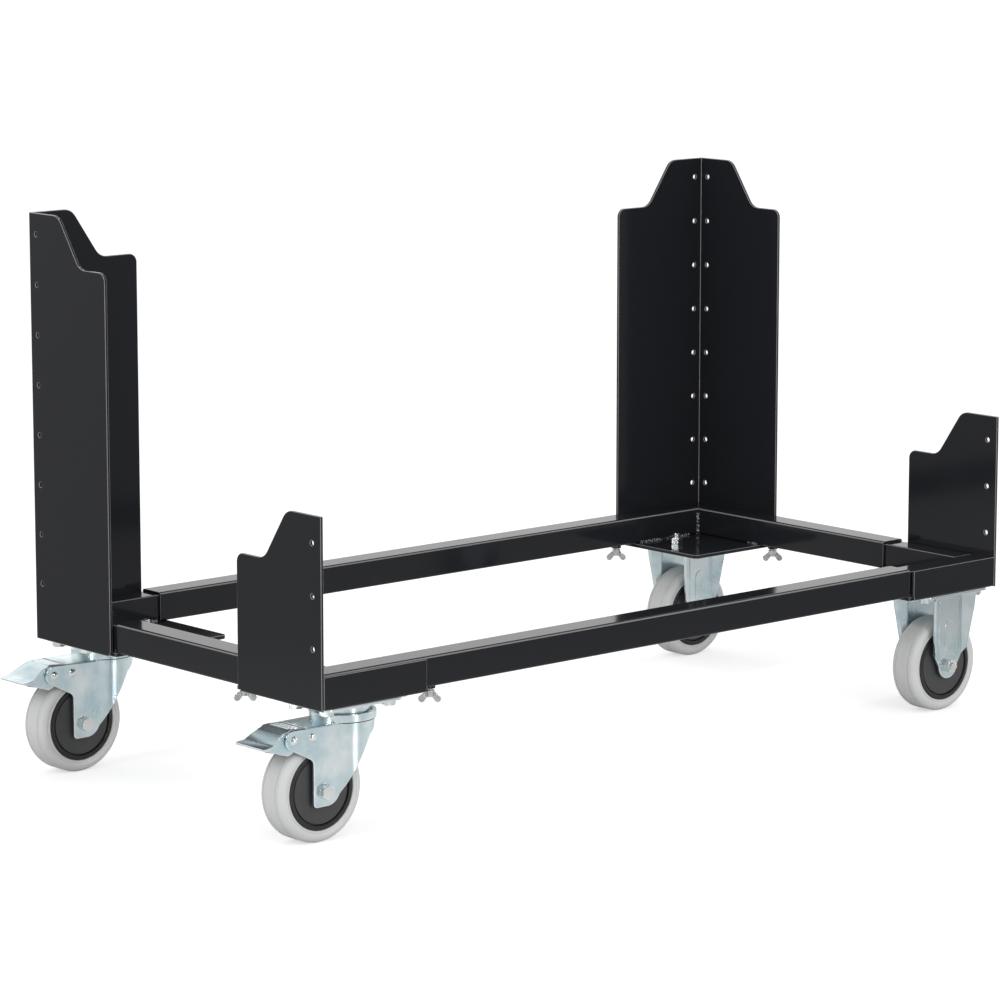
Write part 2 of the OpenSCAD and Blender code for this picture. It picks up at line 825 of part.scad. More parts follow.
caster(true, true) tyre(0);  // rear_right_tyre
caster(true, true) hub(0);  // rear_right_hub
caster(true, false) tyre(0);  // front_right_tyre
caster(true, false) hub(0);  // front_right_hub
corner(false, false) clamp_screw_x();  // front_clamp_screw
corner(false, false) clamp_screw_y();  // left_clamp_screw
corner(true, true) clamp_screw_x();  // rear_clamp_screw
corner(true, true) clamp_screw_y();  // right_clamp_screw
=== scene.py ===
# %% [markdown]
# # Cabinet dolly
# The dolly is a low frame of telescoping square tubes. Two tall angle posts stand at the back,
# two low plates close the ends at the front, and four casters carry it. Every solid comes from
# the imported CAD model. Blender adds what a drawing leaves out: softened edges, weld beads, screw
# threads, the moulded rings of the wheels, and the finishes. Before each step a few lines say
# what the piece is on the real dolly, how it could be made, and why it is made this way.

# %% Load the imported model
import json
import math

import bmesh
import bpy
from mathutils import Matrix, Vector, noise


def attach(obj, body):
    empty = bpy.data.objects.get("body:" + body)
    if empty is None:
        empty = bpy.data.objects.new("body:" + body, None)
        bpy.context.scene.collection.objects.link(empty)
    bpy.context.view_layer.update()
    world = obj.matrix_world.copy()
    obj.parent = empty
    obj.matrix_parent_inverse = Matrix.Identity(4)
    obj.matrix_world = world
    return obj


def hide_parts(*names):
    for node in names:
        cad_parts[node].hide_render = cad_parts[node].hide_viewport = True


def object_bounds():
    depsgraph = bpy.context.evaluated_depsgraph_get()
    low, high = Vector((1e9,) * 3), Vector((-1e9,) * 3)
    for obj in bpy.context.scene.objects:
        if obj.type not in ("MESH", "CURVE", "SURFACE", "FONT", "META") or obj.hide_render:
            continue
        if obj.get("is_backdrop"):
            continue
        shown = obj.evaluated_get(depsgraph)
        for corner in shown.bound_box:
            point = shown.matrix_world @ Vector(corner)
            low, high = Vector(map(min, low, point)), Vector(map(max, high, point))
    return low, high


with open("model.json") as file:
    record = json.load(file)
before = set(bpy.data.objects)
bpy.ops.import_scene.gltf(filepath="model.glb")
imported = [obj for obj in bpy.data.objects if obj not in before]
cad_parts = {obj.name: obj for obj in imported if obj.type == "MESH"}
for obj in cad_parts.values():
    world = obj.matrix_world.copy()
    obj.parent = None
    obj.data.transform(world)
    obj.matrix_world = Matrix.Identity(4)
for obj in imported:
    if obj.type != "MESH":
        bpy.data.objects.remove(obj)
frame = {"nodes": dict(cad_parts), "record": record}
nodes = frame["nodes"]
bodies = frame["record"]["behaviour"]["bodies"]
body_of_node = {node: body for body, members in bodies.items() for node in members}
cad_low, cad_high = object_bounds()
MM = 0.001
print("CAD box, mm:", [round(v / MM) for v in (cad_high - cad_low)])

# %% [markdown]
# ## Camera
# The photograph was taken with a long lens from the front left, a little above the dolly. The
# camera could be set by eye, but then no edge would fall on its edge. So its place and lens were
# worked out from the frame's straight edges, and every corner of the model falls on its corner
# in the picture. A long lens has a narrow view, so it stands far off.

# %% Camera
CAMERA_PLACE = (-2.78694, -3.13886, 0.97319)
YAW, PITCH = 0.7235, 0.1704
camera = bpy.data.objects.new("camera", bpy.data.cameras.new("camera"))
bpy.context.scene.collection.objects.link(camera)
bpy.context.scene.camera = camera
camera.location = CAMERA_PLACE
camera.rotation_euler = (math.pi / 2 - PITCH, 0, -YAW)
camera.data.sensor_width = 36
camera.data.lens = 149.44
camera.data.clip_start, camera.data.clip_end = 0.1, 100
print("lens, mm:", camera.data.lens, "distance, m:", round(camera.location.length, 2))

# %% [markdown]
# ## Shader nodes in a few words
# Every finish below is built from nodes. They could be wired by hand in the editor, but a script
# gives the same result each time. The first helper adds a node, sets its options, and fills its
# sockets with values or with links from earlier nodes. The others are the few nodes that come
# back again and again: a product, the share of a direction, a ramp, and two kinds of mix.


# %% Helpers for nodes
def put(tree, kind, sockets=None, **options):
    node = tree.nodes.new("ShaderNode" + kind)
    for name, value in options.items():
        setattr(node, name, value)
    for name, value in (sockets or {}).items():
        if isinstance(value, bpy.types.NodeSocket):
            tree.links.new(value, node.inputs[name])
        else:
            node.inputs[name].default_value = value
    return node


def times(tree, a, b):
    return put(tree, "Math", {0: a, 1: b}, operation="MULTIPLY").outputs[0]


def share_along(tree, way, direction):
    node = put(tree, "VectorMath", {0: way, 1: direction}, operation="DOT_PRODUCT")
    return node.outputs["Value"]


def ramp(tree, value, reach, levels, kind="LINEAR"):
    sockets = {"Value": value, "From Min": reach[0], "From Max": reach[1]}
    sockets.update({"To Min": levels[0], "To Max": levels[1]})
    return put(tree, "MapRange", sockets, interpolation_type=kind).outputs[0]


def blend(tree, share, first, second):
    return put(tree, "Mix", {0: share, 2: first, 3: second}).outputs[0]


def tinted(tree, share, first, second):
    return put(tree, "Mix", {0: share, 6: first, 7: second}, data_type="RGBA").outputs[2]


def fresh_tree(owner):
    owner.use_nodes = True
    owner.node_tree.nodes.clear()
    return owner.node_tree


# %% [markdown]
# ## Floor
# The dolly stands on white studio paper. A white floor could be lit until it burns out, but that
# would bleach the grey tyres too. So it is a plain pale sheet, and the picture is shown through
# the Standard view, in which colours come out as they are written.

# %% Floor sheet
bpy.context.scene.view_settings.view_transform = "Standard"
FLOOR_REACH = 20
sheet = bmesh.new()
bmesh.ops.create_grid(sheet, x_segments=4, y_segments=4, size=FLOOR_REACH)
floor = bpy.data.objects.new("floor", bpy.data.meshes.new("floor"))
sheet.to_mesh(floor.data)
sheet.free()
bpy.context.scene.collection.objects.link(floor)
floor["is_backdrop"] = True
print("floor, m:", [round(v) for v in floor.dimensions])

# %% [markdown]
# ## Studio paper
# Glossy black and bright zinc show nothing but what they reflect, so the paper's mirror image
# matters more than the paper. In a studio the sheet ends somewhere. Here its image falls off
# towards both ends of the dolly, and the upright sheets stay dark. A smaller floor would do that
# too, but its edge would show in the picture. In mirror images the paper is also satin, so the
# narrow lamps draw long soft streaks in it, which give round zinc its bright and dark bands.
# Light Path tells the nodes which rays are mirror images. It also picks the rays that come from
# the camera, and a little light for these lifts the floor to white and leaves it the shadow.

# %% Finish of the floor
PAPER_GREY, PAPER_LIFT, PAPER_SHEEN, PAPER_IOR = 0.62, 0.56, 0.3, 1.45
WHITE_TINT = (1, 1, 1, 1)
paper = bpy.data.materials.new("studio paper")
tree = fresh_tree(paper)
rays = put(tree, "LightPath").outputs
spot = put(tree, "TexCoord").outputs["Object"]
across = share_along(tree, spot, (0.5, -0.85, 0.0))
front_end = ramp(tree, across, (0.4, 1.0), (0.8, 0.24))
rear_end = ramp(tree, across, (-1.0, -0.45), (0.4, 1.0))
glossy_ray = rays["Is Glossy Ray"]
grey = blend(tree, glossy_ray, PAPER_GREY, times(tree, front_end, rear_end))
matt = put(tree, "BsdfDiffuse", {"Color": grey})
lift = put(tree, "Emission", {"Strength": times(tree, rays["Is Camera Ray"], PAPER_LIFT)})
both = put(tree, "AddShader", {0: matt.outputs[0], 1: lift.outputs[0]})
satin = put(tree, "BsdfAnisotropic", {"Color": WHITE_TINT, "Roughness": PAPER_SHEEN})
shine = put(tree, "Fresnel", {"IOR": PAPER_IOR})
amount = times(tree, shine.outputs[0], glossy_ray)
ground = put(tree, "MixShader", {0: amount, 1: both.outputs[0], 2: satin.outputs[0]})
put(tree, "OutputMaterial", {"Surface": ground.outputs[0]})
floor.data.materials.append(paper)
print("floor finish:", floor.data.materials[0].name, "nodes:", len(tree.nodes))

# %% [markdown]
# ## World
# The room round the dolly is one even light for the matt parts, and plain white for the camera.
# Mirror images need more than that. The tops of the tubes are seen at a flat angle and mirror the
# backdrop behind the dolly, so it is bright there, dim behind the camera, and dim overhead. A
# picture of a studio could be wrapped round instead, but two ramps are easier to adjust.

# %% World
EVEN_LIGHT, WHITE, SMOOTH = 0.8, 1.0, "SMOOTHSTEP"
BEHIND_DOLLY = (0.66, 0.75, 0.0)
world = bpy.data.worlds.new("studio")
bpy.context.scene.world = world
tree = fresh_tree(world)
rays = put(tree, "LightPath").outputs
towards = put(tree, "TexCoord").outputs["Generated"]
glow = ramp(tree, share_along(tree, towards, BEHIND_DOLLY), (-0.5, 0.5), (0.25, 1.15), SMOOTH)
upward = put(tree, "SeparateXYZ", {0: towards}).outputs["Z"]
ceiling = ramp(tree, upward, (0.45, 0.9), (1.0, 0.35), SMOOTH)
mirrored = blend(tree, rays["Is Glossy Ray"], EVEN_LIGHT, times(tree, glow, ceiling))
seen = blend(tree, rays["Is Camera Ray"], mirrored, WHITE)
sky = put(tree, "Background", {"Color": WHITE_TINT, "Strength": seen})
put(tree, "OutputWorld", {"Surface": sky.outputs[0]})
print("world:", world.name, "nodes:", len(tree.nodes))

# %% [markdown]
# ## Lamps
# Product photographs use long narrow boxes of light, because their mirror images draw a thin
# bright line along every rounded edge. Point lamps would give dots there, and large ones a haze.
# All four strips look at the middle of the frame.

# %% Lamps
LAMP_TARGET = Vector((0, 0, 0.2))


def strip(name, place, width, height, watts):
    lamp = bpy.data.lights.new(name, "AREA")
    lamp.shape = "RECTANGLE"
    lamp.size, lamp.size_y, lamp.energy = width, height, watts
    box = bpy.data.objects.new(name, lamp)
    box.location = place
    aim = LAMP_TARGET - Vector(place)
    box.rotation_euler = aim.to_track_quat("-Z", "Y").to_euler()
    bpy.context.scene.collection.objects.link(box)


strip("overhead strip", (-0.1, 0.5, 2.3), width=2.2, height=0.12, watts=9)
strip("left strip", (-2.7, -0.4, 1.05), width=0.1, height=2.0, watts=13)
strip("front strip", (0.0, -2.8, 1.05), width=0.1, height=2.0, watts=20)
strip("camera strip", (-1.9, -2.2, 1.9), width=0.08, height=1.2, watts=6)

# %% [markdown]
# ## Node groups
# A group is a small machine of nodes with named inputs and outputs. What several finishes share,
# such as a skin, a bloom or a grain, is built once and placed in each with its own values. It
# could be copied into each material instead, but then a change would have to be made many times.
# Every group takes the place on the piece, and gives only colours, masks and heights.


# %% Helpers for node groups
def new_group(name, inputs, outputs):
    group = bpy.data.node_groups.new(name, "ShaderNodeTree")
    for label, kind, value in inputs:
        socket = group.interface.new_socket(label, in_out="INPUT", socket_type="NodeSocket" + kind)
        if value is not None:
            socket.default_value = value
    for label, kind in outputs:
        group.interface.new_socket(label, in_out="OUTPUT", socket_type="NodeSocket" + kind)
    return group, group.nodes.new("NodeGroupInput"), group.nodes.new("NodeGroupOutput")


def give(group, result, **values):
    for name, value in values.items():
        group.links.new(value, result.inputs[name])
    print("group:", group.name, "gives", list(values))


# %% [markdown]
# ## Skin of the powder coat
# Powder coat is baked-on plastic. It flows out glossy, with a faint skin like an orange's, and it
# pulls back a little from sharp edges, where it looks thinner. One noise would give the skin, but
# a real coat has more than one scale: a fine skin, a slow sag, and clouds that vary the gloss. So
# there are three noises. The mask of the rounded edges is a face attribute, named edge, that each
# piece carries. The coats use it to paint these edges pale: partly for the thinner coat there, and
# partly as a painted highlight, the thin bright line a rounded edge catches from the lamps.

# %% Node group: coat skin
coat_skin, given, result = new_group(
    "coat skin",
    [("Place", "Vector", None), ("Peel Scale", "Float", 520.0), ("Cloud Scale", "Float", 9.0)],
    [("Height", "Float"), ("Clouds", "Float"), ("Edge", "Float")],
)
SAG_SCALE, SAG_SHARE = 42.0, 3.0
place = given.outputs["Place"]
fine = {"Vector": place, "Scale": given.outputs["Peel Scale"], "Detail": 2.0}
slow = {"Vector": place, "Scale": SAG_SCALE, "Detail": 1.0}
wide = {"Vector": place, "Scale": given.outputs["Cloud Scale"], "Detail": 4.0}
peel = put(coat_skin, "TexNoise", fine).outputs[0]
sag = put(coat_skin, "TexNoise", slow).outputs[0]
clouds = put(coat_skin, "TexNoise", wide).outputs[0]
skin = put(coat_skin, "Math", {0: sag, 1: SAG_SHARE, 2: peel}, operation="MULTIPLY_ADD")
edge = put(coat_skin, "Attribute", attribute_name="edge").outputs["Fac"]
give(coat_skin, result, Height=skin.outputs[0], Clouds=clouds, Edge=edge)

# %% [markdown]
# ## Bloom of the zinc
# The casters and screws are zinc plated and passivated in pale blue. The plating follows the
# steel's rolled grain and dries with soft clouds, bluish here and nearly white there. One flat
# colour would look like paint. So the group mixes two tints by clouds, varies the gloss with the
# same clouds, and stretches a noise into the grain.

# %% Node group: zinc bloom
zinc_bloom, given, result = new_group(
    "zinc bloom",
    [
        ("Place", "Vector", None),
        ("Pale", "Color", (0.86, 0.89, 0.89, 1)),
        ("Blue", "Color", (0.56, 0.68, 0.71, 1)),
        ("Cloud Scale", "Float", 34.0),
        ("Dullest", "Float", 0.42),
    ],
    [("Color", "Color"), ("Roughness", "Float"), ("Height", "Float")],
)
SHINIEST = 0.18
ROLLED_GRAIN = (90.0, 1400.0, 700.0)
place = given.outputs["Place"]
wide = {"Vector": place, "Scale": given.outputs["Cloud Scale"], "Detail": 5.0, "Roughness": 0.6}
clouds = put(zinc_bloom, "TexNoise", wide).outputs[0]
share = ramp(zinc_bloom, clouds, (0.32, 0.68), (0.0, 1.0), SMOOTH)
tint = tinted(zinc_bloom, share, given.outputs["Pale"], given.outputs["Blue"])
dull = ramp(zinc_bloom, clouds, (0.3, 0.7), (SHINIEST, given.outputs["Dullest"]))
rolled = put(zinc_bloom, "Mapping", {"Vector": place, "Scale": ROLLED_GRAIN}).outputs[0]
grain = put(zinc_bloom, "TexNoise", {"Vector": rolled, "Scale": 1.0, "Detail": 2.0}).outputs[0]
give(zinc_bloom, result, Color=tint, Roughness=dull, Height=grain)

# %% [markdown]
# ## Grain of moulded parts
# Tyres, hubs and brake shoes come out of a mould, whose wall leaves a fine stipple, and handling
# adds very soft clouds. Noise could make the stipple, but its grains have every size. The cells of
# a Voronoi pattern are all about one size, as those of an etched mould are.

# %% Node group: mould grain
mould_grain, given, result = new_group(
    "mould grain",
    [
        ("Place", "Vector", None),
        ("Base", "Color", (0.5, 0.5, 0.5, 1)),
        ("Worn", "Color", (0.6, 0.6, 0.6, 1)),
        ("Stipple Scale", "Float", 900.0),
    ],
    [("Color", "Color"), ("Height", "Float"), ("Clouds", "Float")],
)
HANDLING_SCALE = 26.0
place = given.outputs["Place"]
cells = {"Vector": place, "Scale": given.outputs["Stipple Scale"]}
wide = {"Vector": place, "Scale": HANDLING_SCALE, "Detail": 5.0}
stipple = put(mould_grain, "TexVoronoi", cells, feature="SMOOTH_F1").outputs[0]
clouds = put(mould_grain, "TexNoise", wide).outputs[0]
share = ramp(mould_grain, clouds, (0.4, 0.75), (0.0, 1.0))
tint = tinted(mould_grain, share, given.outputs["Base"], given.outputs["Worn"])
give(mould_grain, result, Color=tint, Height=stipple, Clouds=clouds)

# %% [markdown]
# ## A finish
# Each finish is one material: a Principled shader, fed by one of the groups. Its patterns could
# follow a flat map of the piece, but they would stretch over bends. So they read Object
# coordinates, which run through the solid and stay with it when it moves.


# %% Helpers for a finish
def finish_for(name):
    material = bpy.data.materials.new(name)
    tree = fresh_tree(material)
    place = put(tree, "TexCoord").outputs["Object"]
    shader = put(tree, "BsdfPrincipled")
    put(tree, "OutputMaterial", {"Surface": shader.outputs[0]})
    return material, tree, place, shader


def use_group(tree, group, place, **values):
    node = put(tree, "Group", node_tree=group)
    tree.links.new(place, node.inputs["Place"])
    for name, value in values.items():
        node.inputs[name.replace("_", " ")].default_value = value
    return node.outputs


def clouded_gloss(tree, shader, clouds, dull, swing):
    roughness = ramp(tree, clouds, (0.3, 0.7), (dull * (1 - swing), dull * (1 + swing)))
    tree.links.new(roughness, shader.inputs["Roughness"])


def bump(tree, shader, height, depth):
    node = put(tree, "Bump", {"Height": height, "Distance": depth, "Strength": 1.0})
    tree.links.new(node.outputs[0], shader.inputs["Normal"])


# %% [markdown]
# ## Black powder coat
# Two versions of one coat: the sheets and tubes, and the weld beads, where the coat lies thicker
# over ripples and shines more. The edge mask makes the rounded edges, and some crests of the
# ripples, paler. On the edges this is partly the thinner coat and partly a painted highlight, the
# thin bright line they catch from the lamps; on the crests it is a painted highlight. A clear
# layer over a dull base would shine too, but real powder coat is one layer.


# %% Powder coat finishes
def powder_coat(name, dark, pale_edge_and_highlight, dull, peel_depth, shine):
    material, tree, place, shader = finish_for(name)
    skin = use_group(tree, coat_skin, place)
    # The edge mask tints the coat pale: partly the thinner coat, partly a painted highlight
    tree.links.new(tinted(tree, skin["Edge"], dark, pale_edge_and_highlight), shader.inputs["Base Color"])
    clouded_gloss(tree, shader, skin["Clouds"], dull, swing=0.25)
    shader.inputs["Specular IOR Level"].default_value = shine
    bump(tree, shader, skin["Height"], peel_depth)
    print("coat:", name)
    return material


coat = powder_coat(
    "black powder coat",
    dark=(0.0145, 0.0152, 0.0182, 1),
    pale_edge_and_highlight=(0.2, 0.2, 0.205, 1),
    dull=0.1,
    peel_depth=0.005 * MM,
    shine=0.2,
)
weld_coat = powder_coat(
    "coat over weld",
    dark=(0.012, 0.012, 0.014, 1),
    pale_edge_and_highlight=(0.3, 0.3, 0.305, 1),
    dull=0.07,
    peel_depth=0.01 * MM,
    shine=0.8,
)

# %% [markdown]
# ## Plated zinc
# Zinc is a metal, so its colour tints its reflections. The pressed parts are pale blue, the screws
# a little warmer, and the cast wing screws duller. Small parts get smaller clouds. Where a press
# has rounded an edge, the edge mask paints the zinc nearly white: partly burnished plating, and
# partly a painted highlight, the bright line a rounded edge catches. The bearing balls have no
# plating, but with two nearly equal tints the same recipe gives plain bright steel.

# %% Zinc finishes
BURNISH_AND_HIGHLIGHT = (0.96, 0.98, 0.98, 1)
GRAIN, FINE_GRAIN, POLISH = 0.003 * MM, 0.002 * MM, 0.001 * MM


def zinc(name, pale, blue, cloud_scale, dullest, depth):
    material, tree, place, shader = finish_for(name)
    values = {"Pale": (*pale, 1), "Blue": (*blue, 1), "Cloud_Scale": cloud_scale}
    bloom = use_group(tree, zinc_bloom, place, Dullest=dullest, **values)
    edge = put(tree, "Attribute", attribute_name="edge").outputs["Fac"]
    # Rounded edges are tinted nearly white: partly burnished plating, partly a painted highlight
    tree.links.new(tinted(tree, edge, bloom["Color"], BURNISH_AND_HIGHLIGHT), shader.inputs["Base Color"])
    tree.links.new(bloom["Roughness"], shader.inputs["Roughness"])
    shader.inputs["Metallic"].default_value = 1.0
    bump(tree, shader, bloom["Height"], depth)
    print("zinc:", name)
    return material


pressed_zinc = zinc(
    "zinc on pressed steel", (0.85, 0.91, 0.92), (0.56, 0.72, 0.77), 24.0, 0.3, GRAIN
)
# Painted shade: the brackets have the same plating as the forks, and these darker tints paint them
# darker
shaded_bracket_zinc = zinc("zinc on brackets with painted shade", (0.78, 0.85, 0.87), (0.56, 0.69, 0.73), 26.0, 0.3, GRAIN)
screw_zinc = zinc(
    "zinc on screws", (0.88, 0.89, 0.87), (0.74, 0.78, 0.78), 60.0, 0.22, FINE_GRAIN
)
wing_zinc = zinc("zinc on wing screws", (0.66, 0.66, 0.64), (0.4, 0.42, 0.42), 110.0, 0.26, GRAIN)
ball_steel = zinc("bearing steel", (0.75, 0.75, 0.76), (0.7, 0.7, 0.71), 200.0, 0.15, POLISH)

# %% [markdown]
# ## Rubber and plastic
# The grey tyre, the matt hub, its glossy rim and the black shoe differ in tint, gloss and stipple,
# and in nothing else. Four separate materials would repeat each other, so one recipe makes all
# four. The worn tint is only a shade lighter, because these parts are clean.


# %% Rubber and plastic finishes
def moulded(name, base, worn, dull, stipple, depth, shine=0.5):
    material, tree, place, shader = finish_for(name)
    values = {"Base": (*base, 1), "Worn": (*worn, 1), "Stipple_Scale": stipple}
    grain = use_group(tree, mould_grain, place, **values)
    tree.links.new(grain["Color"], shader.inputs["Base Color"])
    clouded_gloss(tree, shader, grain["Clouds"], dull, swing=0.15)
    shader.inputs["Specular IOR Level"].default_value = shine
    bump(tree, shader, grain["Height"], depth)
    print("moulded:", name)
    return material


tyre_rubber = moulded(
    "grey tyre rubber", (0.62, 0.63, 0.62), (0.67, 0.68, 0.67), 0.5, 1500.0, 0.01 * MM
)
hub_plastic = moulded(
    "dark hub plastic", (0.045, 0.045, 0.047), (0.054, 0.054, 0.056), 0.42, 1900.0, 0.02 * MM
)
rim_plastic = moulded(
    "glossy rim plastic", (0.024, 0.024, 0.026), (0.03, 0.03, 0.032), 0.2, 1900.0, 0.004 * MM, 0.3
)
shoe_rubber = moulded(
    "black shoe rubber", (0.012, 0.012, 0.012), (0.018, 0.018, 0.018), 0.6, 1200.0, 0.03 * MM
)

# %% [markdown]
# ## Softened edges
# A CAD solid ends in mathematically sharp edges, and those never catch the light. Real sheet,
# tube and pressings have small rounds, and on black paint these thin bright lines draw the whole
# shape. A Bevel modifier could round them, but it can't tell an outer edge from an inner one. So
# most nodes get a stand-in: a copy whose loose triangles are merged into clean faces and whose
# sharp outer edges are bevelled by the real radius. Inner edges stay crisp, so that they keep
# their thin dark line, except on the posts, where sheet is folded. The stand-in marks the new
# faces for the edge mask, keeps flat faces flat, and shades only curved ones smoothly.


# %% Helpers: hand over a finished mesh
def keep(bm, name, body, material, replaced=()):
    mesh = bpy.data.meshes.new(name)
    bm.to_mesh(mesh)
    bm.free()
    piece = bpy.data.objects.new(name, mesh)
    bpy.context.scene.collection.objects.link(piece)
    mesh.materials.append(material)
    even = piece.modifiers.new("even shading", "WEIGHTED_NORMAL")
    even.keep_sharp = True
    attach(piece, body)
    if replaced:
        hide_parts(*replaced)
    print(name, "faces:", len(mesh.polygons))


def shade(bm, limit):
    for face in bm.faces:
        face.smooth = True
    for edge in bm.edges:
        edge.smooth = len(edge.link_faces) == 2 and edge.calc_face_angle(0) < limit


# %% Helpers: a clean copy, and rounded edges
SAME_POINT, SAME_PLANE = 0.004 * MM, math.radians(0.4)
SHARP, CURVED = math.radians(32), math.radians(30)
EDGE_STEPS, BEND_STEPS = 3, 5
# The faces of a rolled corner's lower half look up by more than the first, less than the second
ROLL_LOW, ROLL_HIGH = 0.2, 0.65


def merged_copy(node):
    bm = bmesh.new()
    bm.from_mesh(nodes[node].data)
    bmesh.ops.remove_doubles(bm, verts=bm.verts, dist=SAME_POINT)
    bmesh.ops.dissolve_limit(
        bm,
        angle_limit=SAME_PLANE,
        use_dissolve_boundaries=False,
        verts=bm.verts,
        edges=bm.edges,
    )
    return bm


def bevelled(bm, edges, radius, steps):
    made = bmesh.ops.bevel(
        bm,
        geom=edges,
        offset=radius * MM,
        offset_type="OFFSET",
        segments=steps,
        profile=0.5,
        affect="EDGES",
        clamp_overlap=False,
        material=-1,
    )
    return made["faces"]


def is_corner(edge):
    return len(edge.link_faces) == 2 and edge.calc_face_angle(0) > SHARP


def soften(bm, radius, inner=False, rolled=False):
    layer = bm.faces.layers.float.new("edge")
    if rolled:
        # Painted highlight: the lower half of a rolled corner joins the edge mask and is painted
        # pale
        for face in bm.faces:
            if ROLL_LOW < face.normal.z < ROLL_HIGH:
                face[layer] = 1.0
    rounded = [edge for edge in bm.edges if is_corner(edge) and (inner or edge.is_convex)]
    for face in bevelled(bm, rounded, radius, EDGE_STEPS):
        face[layer] = 1.0
    shade(bm, CURVED)


def softened(node, radius, material, inner=False, rolled=False):
    bm = merged_copy(node)
    soften(bm, radius, inner, rolled)
    keep(bm, node + "_soft", body_of_node[node], material, [node])


# %% [markdown]
# ## Frame
# The posts, plates and trays are cut from 3 and 4 mm sheet, whose cut edges are only just broken.
# The square tubes are rolled, so their corners are already round in the CAD model, and only the
# sawn ends need a small bevel. A second bevel over the rolled corners would make them fat. The
# lower half of each upper corner joins the edge mask instead, and is painted pale: a painted
# highlight, the thin pale line under the bright top.

# %% Sheet parts
for corner in ("rear_left", "rear_right"):
    softened(corner + "_post", 0.6, coat, inner=True)
    softened(corner + "_base", 0.5, coat)
for corner in ("front_left", "front_right"):
    softened(corner + "_plate", 0.6, coat)
    softened(corner + "_tray", 0.5, coat)

# %% Tubes, spacers and clamp nuts
SAWN_END = 0.35
for kind in ("_rail", "_arm"):
    for side in ("front", "left", "rear", "right"):
        softened(side + kind, SAWN_END, coat, rolled=True)
for bars in ("rear_left_spacers", "front_right_spacers"):
    softened(bars, 0.3, coat)
for nuts in ("front_left_clamp_nuts", "rear_right_clamp_nuts"):
    softened(nuts, 0.4, coat)

# %% [markdown]
# ## Forks
# A fork is pressed from 3 mm steel, and a press leaves a soft shoulder at every edge. Where its
# top folds over into the legs, the bend is much rounder than that, and one bevel can't have two
# radii. The long edges of the fold could be picked by number, but numbers change with the model.
# So they are found by their place, at the level of the top and outside the middle, and bevelled
# first.


# %% Helpers: the box and the middle of a node
def box_of(node):
    ends = [Vector(c) for c in nodes[node].bound_box]
    low = Vector([min(c[i] for c in ends) for i in range(3)])
    high = Vector([max(c[i] for c in ends) for i in range(3)])
    return low, high


def middle_of(node):
    low, high = box_of(node)
    return (low + high) / 2


# %% Forks
SWIVELS = ("front_left", "rear_left")
CROWN_TOP = 113.5 * MM
PRESSED_EDGE, TOP_FOLD = 0.6, 2.2
HAIR, OUTSIDE, SHORTEST_FOLD = 0.05 * MM, 21 * MM, 5 * MM
for corner in SWIVELS:
    fork = corner + "_fork"
    bm = merged_copy(fork)
    middle_y = middle_of(fork).y
    folds = []
    for edge in bm.edges:
        level = all(abs(v.co.z - CROWN_TOP) < HAIR for v in edge.verts)
        outside = all(abs(v.co.y - middle_y) > OUTSIDE for v in edge.verts)
        if level and outside and edge.is_convex and edge.calc_length() > SHORTEST_FOLD:
            folds.append(edge)
    print(fork, "folds rounded:", len(folds))
    bevelled(bm, folds, TOP_FOLD, BEND_STEPS)
    soften(bm, PRESSED_EDGE)
    keep(bm, fork + "_soft", body_of_node[fork], pressed_zinc, [fork])

# %% [markdown]
# ## Fixed brackets
# The fixed casters hang in brackets whose legs are bent along their upright edges, to keep them
# stiff. The bends could be part of the CAD model, but sharp folds keep that simple to change. So
# they are rounded here: these edges are the long and steep ones, and that is how they are found.

# %% Brackets
LEG_BEND, SHORTEST_LEG, STEEP = 1.2, 15 * MM, 0.85
for corner in ("front_right", "rear_right"):
    bracket = corner + "_bracket"
    bm = merged_copy(bracket)
    upright = []
    for edge in bm.edges:
        way = edge.verts[1].co - edge.verts[0].co
        steep = way.length > SHORTEST_LEG and abs(way.z) > STEEP * way.length
        if steep and edge.is_convex and is_corner(edge):
            upright.append(edge)
    print(bracket, "bends rounded:", len(upright))
    bevelled(bm, upright, LEG_BEND, BEND_STEPS)
    soften(bm, PRESSED_EDGE)
    keep(bm, bracket + "_soft", body_of_node[bracket], shaded_bracket_zinc, [bracket])

# %% [markdown]
# ## Other caster parts and the wing screws
# Mounting plates and pedals are pressed like the forks. Rivets are headed cold and keep a small
# round, the brake shoe is moulded with a larger one, and the wing screws are cast, so their edges
# are soft. Each could be modelled anew, but the solids already have the right shape, so the
# radius of the edges is all that differs.

# %% Other caster parts and the wing screws
for corner in SWIVELS:
    softened(corner + "_mounting_plate", PRESSED_EDGE, pressed_zinc)
    softened(corner + "_pedal", 0.5, pressed_zinc)
    softened(corner + "_kingpin", 0.5, screw_zinc)
    softened(corner + "_brake_pins", 0.3, screw_zinc)
    softened(corner + "_shoe", 0.8, shoe_rubber)
for clamp in ("front_clamp", "left_clamp", "rear_clamp", "right_clamp"):
    softened(clamp + "_screw", 0.5, wing_zinc)

# %% [markdown]
# ## Turned shapes
# Wheels, the dark rings of painted shade under the bearing cups, and threads are round about a
# line. Each could be stacked from cylinders and rings, but one outline that is turned has no
# seams, and the spin operator does that. A section is a list of distances from the line and along
# it, in mm. The spin closes on itself, the doubles are merged, and then the normals are worked out
# again, because a spin may turn a shape inside out.

# %% Helpers: spin a section about an axis
ALONG_Y = Vector((0, 1, 0))
ALONG_Z = Vector((0, 0, 1))
SPUN_DOUBLES, TURNED = 0.001 * MM, math.radians(40)


